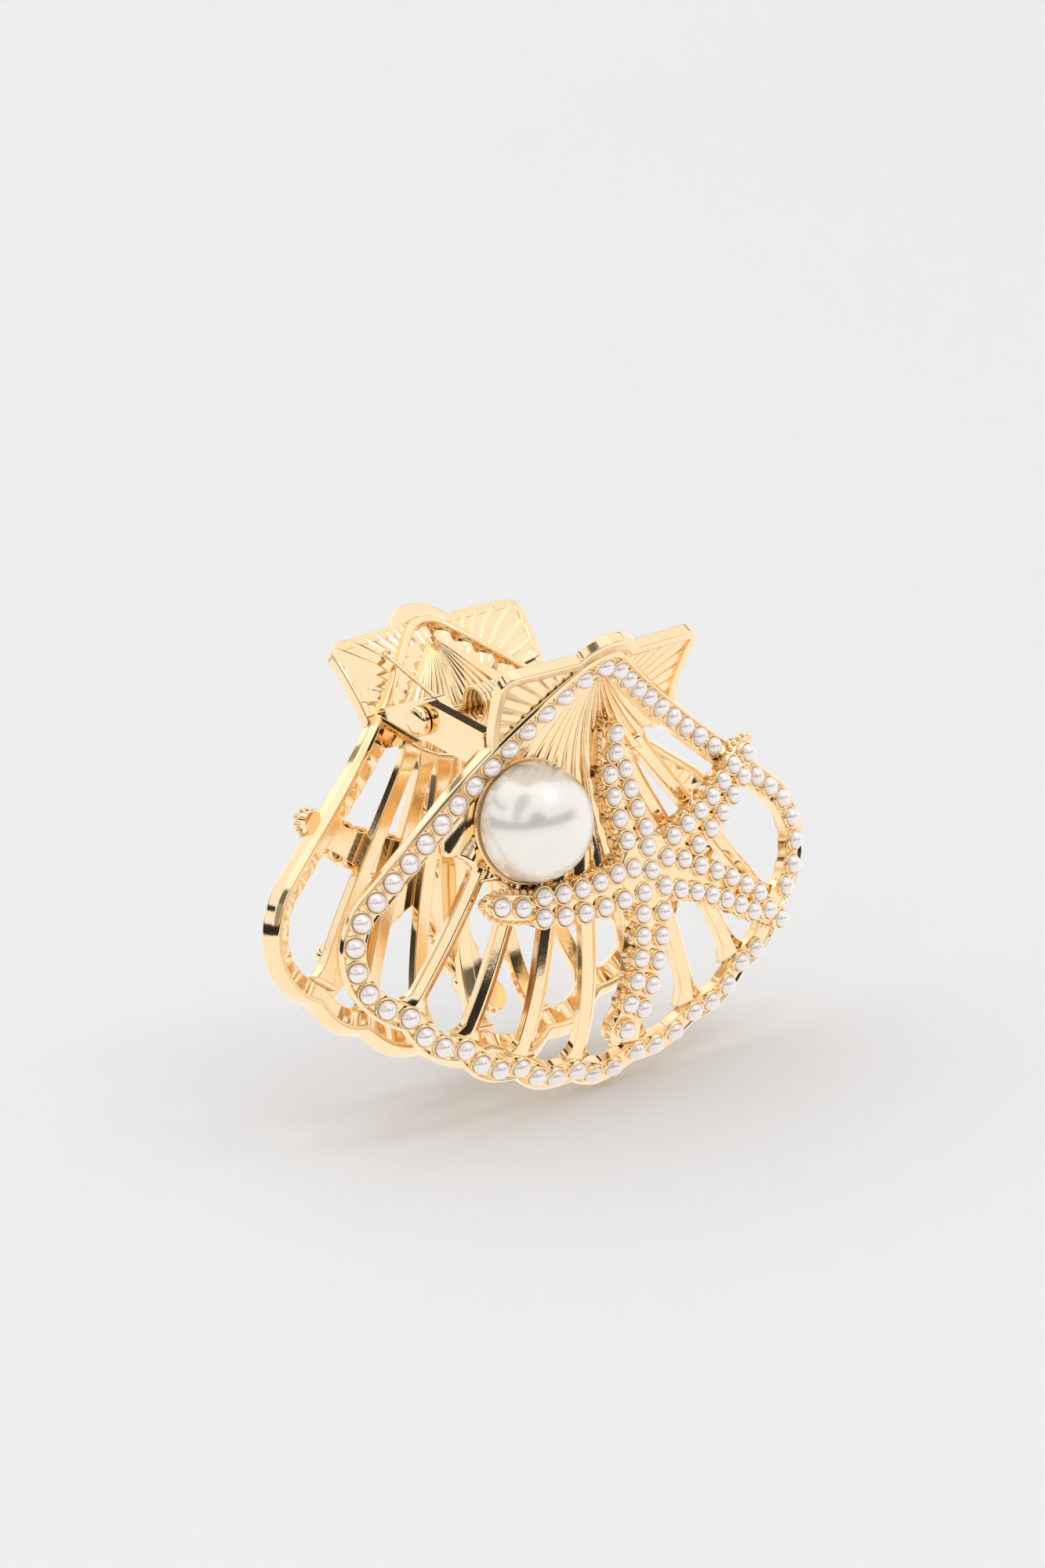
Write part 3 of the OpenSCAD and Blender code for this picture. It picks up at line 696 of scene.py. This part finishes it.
class CLAW_OT_handles(ClawOperator, bpy.types.Operator):
    """Make the two ears of each jaw with their fine rays, and the border round them with the umbo"""
    bl_idname = "claw.handles"
    bl_label = "Ears and handle border"

    def execute(self, context):
        s = Sizes()
        p = ear_grid(s)
        ray = np.arctan2(p[..., 1] - s.arch_z + 3.0, p[..., 0])
        from_umbo = np.linalg.norm(p - np.array([0, s.arch_z - 3.0]), axis=-1)
        rays = 0.16 * np.abs(np.cos(26 * ray)) ** 0.7 * ease((from_umbo - 4) / 4)
        sheet = slab(on_shell(s, p, -0.25 + rays), on_shell(s, p, -0.25 - s.plate_t * 0.8 + rays))
        v, f = sheet
        mirrored = (v * np.array([-1.0, 1.0, 1.0]), [q[::-1] for q in f])
        verts, faces = joined([sheet, mirrored])
        for jaw in JAWS:
            add_piece(jaw + "_rayed_ears", for_jaw(verts, jaw), faces, body_of(jaw), "plated_casting",
                      [jaw + "_ears"])
        verts, faces = tube(self.border(s))
        for jaw in JAWS:
            add_piece(jaw + "_handle_border", for_jaw(verts, jaw), faces, body_of(jaw), "plated_casting",
                      [jaw + "_handle_bar"])
        return {"FINISHED"}

    @staticmethod
    def border(s):
        """Border from one waist over the umbo to the other: a rounded strip square to its own path."""
        arch = np.array([0, s.arch_z])
        low = arch + (s.arch_r + s.edge_out - 0.75) * heading(s.edge_a) + 11.0 * heading(s.edge_a - 90)
        tip = np.array([s.ear_x, s.ear_z])
        t = np.linspace(0, 1, 30)[:, None]
        side = low + (tip - low) * t * 0.86
        turn_in, turn_out = side[-1], np.array([s.ear_x - 1.5, s.ear_z])
        turn = (1 - t) ** 2 * turn_in + 2 * t * (1 - t) * tip + t ** 2 * turn_out
        x = np.linspace(turn_out[0], 0, 80)
        bump = s.bump_h * np.maximum(0, np.cos(np.pi * x / 6.6)) ** 0.6 * (x < 3.3)
        top = np.stack([x, s.ear_z + bump], -1)
        right = np.concatenate([side, turn[1:], top[1:]])
        whole = np.concatenate([right, right[-2::-1] * np.array([-1, 1])])
        path = resample(whole, 260)
        step = np.gradient(path, axis=0)
        way = np.stack([step[:, 1], -step[:, 0]], -1)
        for _ in range(3):
            way[1:-1] = (way[:-2] + way[1:-1] + way[2:]) / 3
        way /= np.linalg.norm(way, axis=1, keepdims=True)
        swell = 1 + 0.55 * np.exp(-(path[:, 0] / 2.8) ** 4)
        profile = rounded([(-0.5, 0.25), (-0.5, -1.05), (0.4, -1.05), (0.4, 0.3)], 0.2)
        d = profile[:, 0] * swell[:, None]
        return on_shell(s, path[:, None] + way[:, None] * d[..., None],
                        np.broadcast_to(profile[:, 1], d.shape))


class CLAW_OT_starfish(ClawOperator, bpy.types.Operator):
    """Sweep the five crowned arms of each starfish, dome its middle and bead its edges"""
    bl_idname = "claw.starfish"
    bl_label = "Starfish"

    def execute(self, context):
        s = Sizes()
        parts, beads = [], []
        for k in range(len(ARMS)):
            ring, bead = self.arm(s, k)
            parts.append(tube(ring))
            beads.append(bead)
        a = np.linspace(0, np.pi / 2, 12)
        crown = np.stack([s.arm_root * 1.25 * np.cos(a) + 0.01, s.star_h + 0.12 * np.sin(a)], -1)
        crown = np.concatenate([[[s.arm_root * 1.35, -0.3]], crown])
        at, turn = frames(s, s.star[None])
        parts.append(copies(lathe(crown, 48), at, turn))
        verts, faces = joined(parts)
        bead_at, bead_turn = frames(s, np.concatenate([b[:, :2] for b in beads]))
        bead_at = bead_at + bead_turn[:, 2] * np.concatenate([b[:, 2] for b in beads])[:, None]
        b = np.linspace(-np.pi / 2, np.pi / 2, 6)
        ball = lathe(s.bead_r * np.stack([np.cos(b), np.sin(b)], -1), 8)
        bead_verts, bead_faces = copies(ball, bead_at, bead_turn)
        for jaw in JAWS:
            add_piece(jaw + "_starfish_arms", for_jaw(verts, jaw), faces, body_of(jaw), "plated_casting",
                      [jaw + "_starfish"])
            add_piece(jaw + "_starfish_beads", for_jaw(bead_verts, jaw), bead_faces, body_of(jaw),
                      "plated_casting")
        return {"FINISHED"}

    @staticmethod
    def arm(s, k):
        """Crowned arm: half width narrows, rounds off at the tip and waves a little; and its beads."""
        reach = math.hypot(*ARMS[k][0])
        quarter = np.linspace(0, np.pi / 2, 14)[1:]
        t = np.concatenate([np.linspace(0.02, 0.9, 60), 0.9 + 0.1 * np.sin(quarter)])

        def half_at(u):
            tip = np.sqrt(np.clip(1 - np.maximum(0, (u - 0.9) / 0.1) ** 2, 0.002, 1))
            return (arm_half(s, u) - 0.22 + 0.12 * np.sin(2 * np.pi * u * reach / 7.5)) * tip
        p, side = arm_line(s, k, t)
        h = half_at(t)
        h_top = s.star_h * (1 - 0.2 * t)
        profile = rounded([(-1, -0.2), (1, -0.2), (1.02, 0.62), (0.84, 0.9), (0.42, 1.0), (0, 1.03),
                           (-0.42, 1.0), (-0.84, 0.9), (-1.02, 0.62)], 0.06, 2)
        d = profile[:, 0] * h[:, None]
        w = profile[:, 1] * h_top[:, None]
        ring = on_shell(s, p[:, None] + side[:, None] * d[..., None], w)
        dense = np.linspace(0.16, 1.0, 400)
        q, q_side = arm_line(s, k, dense)
        beads = []
        for sign in (-1, 1):
            edge = q + sign * q_side * (half_at(dense) + 0.06)[:, None]
            height = s.star_h * (1 - 0.2 * dense) * 0.66
            run = np.concatenate([edge, height[:, None]], 1)
            span = np.linalg.norm(np.diff(edge, axis=0), axis=1).sum()
            beads.append(resample(run, int(span / (2.05 * s.bead_r))))
        return ring, np.concatenate(beads)


def half_pearl(diameter, turns, rings):
    """Flat backed pearl: a short skirt, then a half sphere."""
    a = np.linspace(0, np.pi / 2, rings)
    r = diameter / 2
    dome = np.stack([r * np.cos(a), 0.1 * r + r * np.sin(a) * 0.98], -1)
    profile = np.concatenate([[[r * 0.97, 0.0]], dome[:-1], [[r * 0.02, dome[-1, 1]]]])
    return lathe(profile, turns)


def cup(diameter, wall, foot, lip, turns=16):
    """Cast cup round a small pearl: outer wall, rolled lip and a short inner wall, as a closed ring."""
    r = diameter / 2
    outline = np.array([(r - 0.1, foot), (r + wall - 0.06, foot), (r + wall, lip - 0.12),
                        (r + wall * 0.55, lip), (r + 0.03, lip - 0.1)])
    a = np.linspace(0, 2 * np.pi, turns, endpoint=False)[:, None]
    ring = np.stack([outline[:, 0] * np.cos(a), outline[:, 0] * np.sin(a),
                     np.broadcast_to(outline[:, 1], (turns, len(outline)))], -1)
    return tube(ring, closed=True)


class CLAW_OT_small_pearls(ClawOperator, bpy.types.Operator):
    """Set the rim and the starfish with small half pearls, each in its cast collar"""
    bl_idname = "claw.small_pearls"
    bl_label = "Small pearls"

    def execute(self, context):
        s = Sizes()
        self.set_groups(s, rim_pearls(s), s.pearl_d, 0.0, 0.9, "rim_cups")
        self.set_groups(s, star_pearls(s), s.pearl_d * STAR_PEARL, s.star_h, 1.5, "starfish_cups")
        return {"FINISHED"}

    @staticmethod
    def set_groups(s, groups, diameter, floor, foot, cups):
        stone = half_pearl(diameter, 16, 6)
        ring = cup(diameter, 0.24, -foot, 0.34)
        for name, p in groups.items():
            at, turn = frames(s, p)
            verts, faces = copies(stone, at + (floor + SEAT) * turn[:, 2], turn)
            for jaw in JAWS:
                add_piece(f"{jaw}_{name}_set", for_jaw(verts, jaw), faces, body_of(jaw), "small_pearl",
                          [f"{jaw}_{name}"])
        at, turn = frames(s, np.concatenate(list(groups.values())))
        verts, faces = copies(ring, at + floor * turn[:, 2], turn)
        for jaw in JAWS:
            add_piece(f"{jaw}_{cups}", for_jaw(verts, jaw), faces, body_of(jaw), "plated_casting")


class CLAW_OT_large_pearls(ClawOperator, bpy.types.Operator):
    """Seat the large half pearl of each jaw in its turned cup"""
    bl_idname = "claw.large_pearls"
    bl_label = "Large pearls"

    def execute(self, context):
        s = Sizes()
        r = s.large_d / 2
        at, turn = frames(s, s.large[None])
        a = np.linspace(0.0, np.pi / 2, 40)
        dome = np.stack([r * np.cos(a), s.cup_h + r * np.sin(a)], -1)
        under = np.array([[r * 0.90, s.cup_h - 0.55], [r * 0.985, s.cup_h - 0.3]])
        pearl = copies(lathe(np.concatenate([under, dome[:-1], [[0.01, s.cup_h + r]]]), 96), at, turn)
        outline = rounded([(r - 1.4, -1.0), (r - 0.3, -1.0), (r + 0.08, 0.2), (r + 0.3, s.cup_h - 0.75),
                           (r + 0.22, s.cup_h - 0.5), (r - 0.25, s.cup_h - 0.62), (r - 1.4, s.cup_h - 0.7)],
                          0.16)
        b = np.linspace(0, 2 * np.pi, 96, endpoint=False)[:, None]
        ring = np.stack([outline[:, 0] * np.cos(b), outline[:, 0] * np.sin(b),
                         np.broadcast_to(outline[:, 1], (96, len(outline)))], -1)
        base = lathe(np.array([[r - 1.2, -0.9], [r - 1.2, s.cup_h - 0.72]]), 96)
        holder = copies(joined([tube(ring, closed=True), base]), at, turn)
        for jaw in JAWS:
            add_piece(jaw + "_large_pearl_dome", for_jaw(pearl[0], jaw), pearl[1], body_of(jaw),
                      "large_pearl", [jaw + "_large_pearl"])
            add_piece(jaw + "_large_cup", for_jaw(holder[0], jaw), holder[1], body_of(jaw), "plated_casting",
                      [jaw + "_pearl_cup"])
        return {"FINISHED"}


def along_pin(shape, x0, sign=1):
    """Turn a lathed shape to lie along the pin, starting at x0."""
    v, f = shape
    moved = np.stack([x0 + sign * v[:, 2], sign * v[:, 0], v[:, 1]], -1) + np.array([0, 0, PIN_AXIS_Z])
    return moved, f


class CLAW_OT_hinge(ClawOperator, bpy.types.Operator):
    """Turn the hinge pin with its domed head and riveted end, the washer, and wind the spring"""
    bl_idname = "claw.hinge"
    bl_label = "Hinge pin and spring"

    def execute(self, context):
        s = Sizes()
        low, high = (np.array(c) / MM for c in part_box("hinge_pin"))
        r, wide, head = s.pin_r, s.head_r, 1.0
        end = high[0] - low[0]
        profile = np.array([(0.01, -0.12), (wide * 0.5, -0.1), (wide * 0.8, 0.0), (wide * 0.95, 0.14),
                            (wide, 0.3), (wide, head - 0.15), (wide * 0.96, head - 0.03),
                            (wide * 0.9, head), (r + 0.02, head), (r, head + 0.02), (r, end - 0.5),
                            (r * 1.4, end - 0.48), (r * 1.4, end - 0.3), (r * 1.2, end - 0.08),
                            (r * 0.6, end + 0.04), (0.01, end + 0.06)])
        verts, faces = along_pin(lathe(profile, 40), low[0])
        add_piece("hinge_pin_turned", verts, faces, "front_jaw", "pin_metal", ["hinge_pin"])
        low, high = (np.array(c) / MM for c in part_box("pin_washer"))
        thick = high[0] - low[0]
        ring = rounded([(r + 0.02, 0), (wide, 0), (wide, thick), (r + 0.02, thick)], 0.1)
        a = np.linspace(0, 2 * np.pi, 40, endpoint=False)[:, None]
        rings = np.stack([ring[:, 0] * np.cos(a), ring[:, 0] * np.sin(a),
                          np.broadcast_to(ring[:, 1], (40, len(ring)))], -1)
        verts, faces = along_pin(tube(rings, closed=True), low[0])
        add_piece("pin_washer_turned", verts, faces, "front_jaw", "pin_metal", ["pin_washer"])
        coil, leg = self.wire(s)
        verts, faces = tube(coil)
        add_piece("hinge_spring_wire", verts, faces, "front_jaw", "spring_wire", ["hinge_spring"])
        verts, faces = tube(leg)
        add_piece("hinge_spring_rear_leg", verts, faces, "rear_jaw", "spring_wire")
        return {"FINISHED"}

    @staticmethod
    def wire(s):
        """The coil round the pin with its front leg, and the rear leg, which turns with its own jaw."""
        turns, up, coil_gap, turn_gap, leg_gap = 19, 4.4, 1.0, 0.06, 0.45
        radius = s.pin_r + coil_gap + s.wire_d / 2
        half = turns * (s.wire_d + turn_gap) / 2
        handle = float(depth(s, np.array(half), np.array(PIN_AXIS_Z + up)))
        reach = handle - s.plate_t - s.wire_d / 2 - leg_gap
        start = math.atan2(-reach, up)
        a = np.linspace(start, -start - math.pi - 2 * math.pi * turns, turns * 28)
        x = np.linspace(-half, half, turns * 28)
        coil = np.stack([x, radius * np.cos(a), radius * np.sin(a)], -1)
        t = np.linspace(0, 1, 24)[:, None]
        hook = np.array([0.9, -0.7, 0.15])
        rear = np.array([-half - 0.3, reach, up])
        front = np.array([half + 0.3, -reach, up])
        leg = coil[-1] + (front - coil[-1]) * t[1:]
        beside = np.array([-s.wire_d - 0.14, 0, 0])
        hold = coil[:8] + beside
        rear_leg = rear + beside + (hold[0] - rear - beside) * t[:-1]
        curl = rear + beside + hook * np.sin(np.linspace(1, 0, 8)[:, None] * np.pi / 2) * 0.6
        lines = np.concatenate([coil, leg]), np.concatenate([curl[:-1], rear_leg, hold])
        return [CLAW_OT_hinge.swept(line + np.array([0, 0, PIN_AXIS_Z]), s.wire_d / 2) for line in lines]

    @staticmethod
    def swept(line, radius):
        """Rings of ten points round a line, square to it."""
        step = np.gradient(line, axis=0)
        step /= np.linalg.norm(step, axis=1, keepdims=True)
        u = np.cross(step, np.array([0.3, 0.2, 1.0]))
        u /= np.linalg.norm(u, axis=1, keepdims=True)
        v = np.cross(step, u)
        b = np.linspace(0, 2 * np.pi, 10, endpoint=False)[None, :, None]
        return line[:, None] + radius * (np.cos(b) * u[:, None] + np.sin(b) * v[:, None])


class CLAW_OT_stage(ClawOperator, bpy.types.Operator):
    """Put up the pale sweep, the soft lights and the camera"""
    bl_idname = "claw.stage"
    bl_label = "Stage"

    def execute(self, context):
        self.sweep()
        self.lights(context)
        self.camera(context)
        return {"FINISHED"}

    @staticmethod
    def sweep():
        """Floor that gets paler with distance: a near disc, and a far one that curves up into a wall."""
        a = np.linspace(0, np.pi / 2, 24)
        near, flat, curve, wall = 260.0, 900.0, 700.0, 1500.0
        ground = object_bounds()[0][2] / MM
        rise = np.stack([flat + curve * np.sin(a), curve * (1 - np.cos(a))], -1)
        far = np.concatenate([[(near, 0.0), (flat, 0.0)], rise[1:], [(flat + curve, wall)]])
        tree, bsdf, place = blank_material("pale_floor")
        clouds = noise(tree, place, 6.0, 2.0)
        split = shade(tree, "ShaderNodeSeparateXYZ", None, place)
        x, y = (Wire(tree, split.socket.node.outputs[k]) for k in (0, 1))
        away = shade(tree, "ShaderNodeClamp", None, (x * x + y * y) * 0.8 + 0.04 * clouds)
        tint = shade(tree, "ShaderNodeMix", {"data_type": "RGBA"}, out=2)
        mix = tint.socket.node
        tree.links.new(away.socket, mix.inputs[0])
        mix.inputs[6].default_value = (0.87, 0.87, 0.87, 1)
        mix.inputs[7].default_value = (0.97, 0.97, 0.97, 1)
        feed(tree, bsdf, Base_Color=tint)
        bsdf.inputs["Roughness"].default_value = 0.65
        for name, profile in (("floor_near", np.array([(0.0, 0.0), (60.0, 0.0), (near, 0.0)])),
                              ("floor_far", far)):
            b = np.linspace(0, 2 * np.pi, 96, endpoint=False)
            r, h = profile[:, 0][:, None], profile[:, 1][:, None] + ground
            rings = np.stack([r * np.cos(b), r * np.sin(b), np.broadcast_to(h, (len(profile), 96))], -1)
            mesh = bpy.data.meshes.new(name)
            mesh.from_pydata((rings.reshape(-1, 3) * MM).tolist(), [],
                             [q[::-1] for q in grid_faces(len(profile), 96, False, True)])
            mesh.polygons.foreach_set("use_smooth", np.full(len(mesh.polygons), True))
            mesh.materials.append(bpy.data.materials["pale_floor"])
            floor = bpy.data.objects.new(name, mesh)
            bpy.context.scene.collection.objects.link(floor)
            floor.visible_glossy = False
            floor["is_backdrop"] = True

    @staticmethod
    def lights(context):
        """White dome with a dark band, two dark patches at the front, a seam behind, and soft boxes."""
        world = bpy.data.worlds.new("studio")
        context.scene.world = world
        world.use_nodes = True
        tree = world.node_tree
        way = shade(tree, "ShaderNodeTexCoord", out="Generated")
        split = shade(tree, "ShaderNodeSeparateXYZ", None, way)
        x, y, z = (Wire(tree, split.socket.node.outputs[k]) for k in range(3))
        front = (x * -0.75 + y * -0.66 + 0.35) * 2.2
        front = shade(tree, "ShaderNodeClamp", None, front)
        low = shade(tree, "ShaderNodeClamp", None, (1 - ((z - 0.13) * 7.5) ** 2) * 3)
        behind = shade(tree, "ShaderNodeClamp", None, y * 6)
        seam = behind * shade(tree, "ShaderNodeClamp", None, (1 - ((z - 0.56) * 18) ** 2) * 3)
        aside, ahead = x * 0.807 - y * 0.59, x * -0.59 - y * 0.807
        dark = 4 * (1 - ((aside - 0.15) * 3.8) ** 2 - ((z - 0.28) * 4) ** 2)
        patch = shade(tree, "ShaderNodeClamp", None, dark) * shade(tree, "ShaderNodeClamp", None, ahead * 10)
        side = shade(tree, "ShaderNodeClamp", None, 4 * (1 - ((x + 0.6) * 2.8) ** 2 - ((y + 0.3) * 5) ** 2))
        side = 0.85 * side * shade(tree, "ShaderNodeClamp", None, z * 10)
        room = shade(tree, "ShaderNodeClamp", None, low * front + seam + patch + side)
        sky = shade(tree, "ShaderNodeMix", {"data_type": "RGBA"}, out=2)
        mix = sky.socket.node
        tree.links.new(room.socket, mix.inputs[0])
        mix.inputs[6].default_value = (1.0, 1.0, 1.0, 1)
        mix.inputs[7].default_value = (0.03, 0.027, 0.025, 1)
        back = tree.nodes["Background"]
        tree.links.new(sky.socket, back.inputs[0])
        back.inputs[1].default_value = 1.06
        aim = Vector((0, 0, 0.024))
        for name, place, size, watts in (("key", (0.25, -0.55, 0.75), 0.16, 0.45),
                                         ("fill", (-0.75, -0.25, 0.45), 0.5, 0.15),
                                         ("back", (0.1, 0.8, 0.7), 0.8, 0.6),
                                         ("top", (0.0, 0.0, 1.1), 0.9, 0.4)):
            data = bpy.data.lights.new(name, "AREA")
            data.shape, data.size, data.energy = "SQUARE", size, watts
            lamp = bpy.data.objects.new(name, data)
            lamp.location = place
            lamp.rotation_euler = (aim - Vector(place)).to_track_quat("-Z", "Y").to_euler()
            context.scene.collection.objects.link(lamp)

    @staticmethod
    def camera(context):
        """Camera ahead and to the left of the clip, a little above it, leaning slightly."""
        around, above, lean = math.radians(36.2), math.radians(13.9), math.radians(6.65)
        back = Vector((-math.sin(around) * math.cos(above), -math.cos(around) * math.cos(above),
                       math.sin(above)))
        right = Vector((math.cos(around), -math.sin(around), 0))
        up = back.cross(right)
        x = right * math.cos(lean) - up * math.sin(lean)
        y = right * math.sin(lean) + up * math.cos(lean)
        data = bpy.data.cameras.new("camera")
        data.lens, data.sensor_width, data.sensor_fit = 113.7, 36, "AUTO"
        data.shift_x, data.shift_y = -0.008, 0.0499
        data.clip_start, data.clip_end = 0.01, 20
        cam = bpy.data.objects.new("camera", data)
        place = Vector((0, 0, 0.0224)) + back * 0.500
        cam.matrix_world = Matrix.Translation(place) @ Matrix((x, y, back)).transposed().to_4x4()
        context.scene.collection.objects.link(cam)
        context.scene.camera = cam
        context.scene.view_settings.view_transform = "Standard"


class CLAW_PT_panel(bpy.types.Panel):
    """Sizes, colours and the steps that build the hair claw"""
    bl_idname = "CLAW_PT_panel"
    bl_label = "Hair Claw"
    bl_space_type = "VIEW_3D"
    bl_region_type = "UI"
    bl_category = "Hair Claw"

    def draw(self, context):
        for step in STEPS:
            self.layout.operator(step.bl_idname)
        for group in (context.scene.claw_shell, context.scene.claw_trim, context.scene.claw_finish):
            box = self.layout.box()
            for key in group.__annotations__:
                box.prop(group, key)


STEPS = (CLAW_OT_materials, CLAW_OT_rims, CLAW_OT_ribs, CLAW_OT_fans, CLAW_OT_handles,
         CLAW_OT_starfish, CLAW_OT_small_pearls, CLAW_OT_large_pearls, CLAW_OT_hinge, CLAW_OT_stage)
GROUPS = {"claw_shell": ClawShell, "claw_trim": ClawTrim, "claw_finish": ClawFinish}


def register():
    for cls in (*GROUPS.values(), *STEPS, CLAW_PT_panel):
        bpy.utils.register_class(cls)
    for key, cls in GROUPS.items():
        setattr(bpy.types.Scene, key, bpy.props.PointerProperty(type=cls))


def unregister():
    for key in GROUPS:
        delattr(bpy.types.Scene, key)
    for cls in (CLAW_PT_panel, *reversed(STEPS), *GROUPS.values()):
        bpy.utils.unregister_class(cls)


def main():
    """Register the add-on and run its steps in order."""
    register()
    for step in STEPS:
        family, name = step.bl_idname.split(".")
        result = getattr(getattr(bpy.ops, family), name)()
        if result != {"FINISHED"}:
            raise RuntimeError(step.bl_label + " did not finish")


if __name__ == "__main__":
    main()
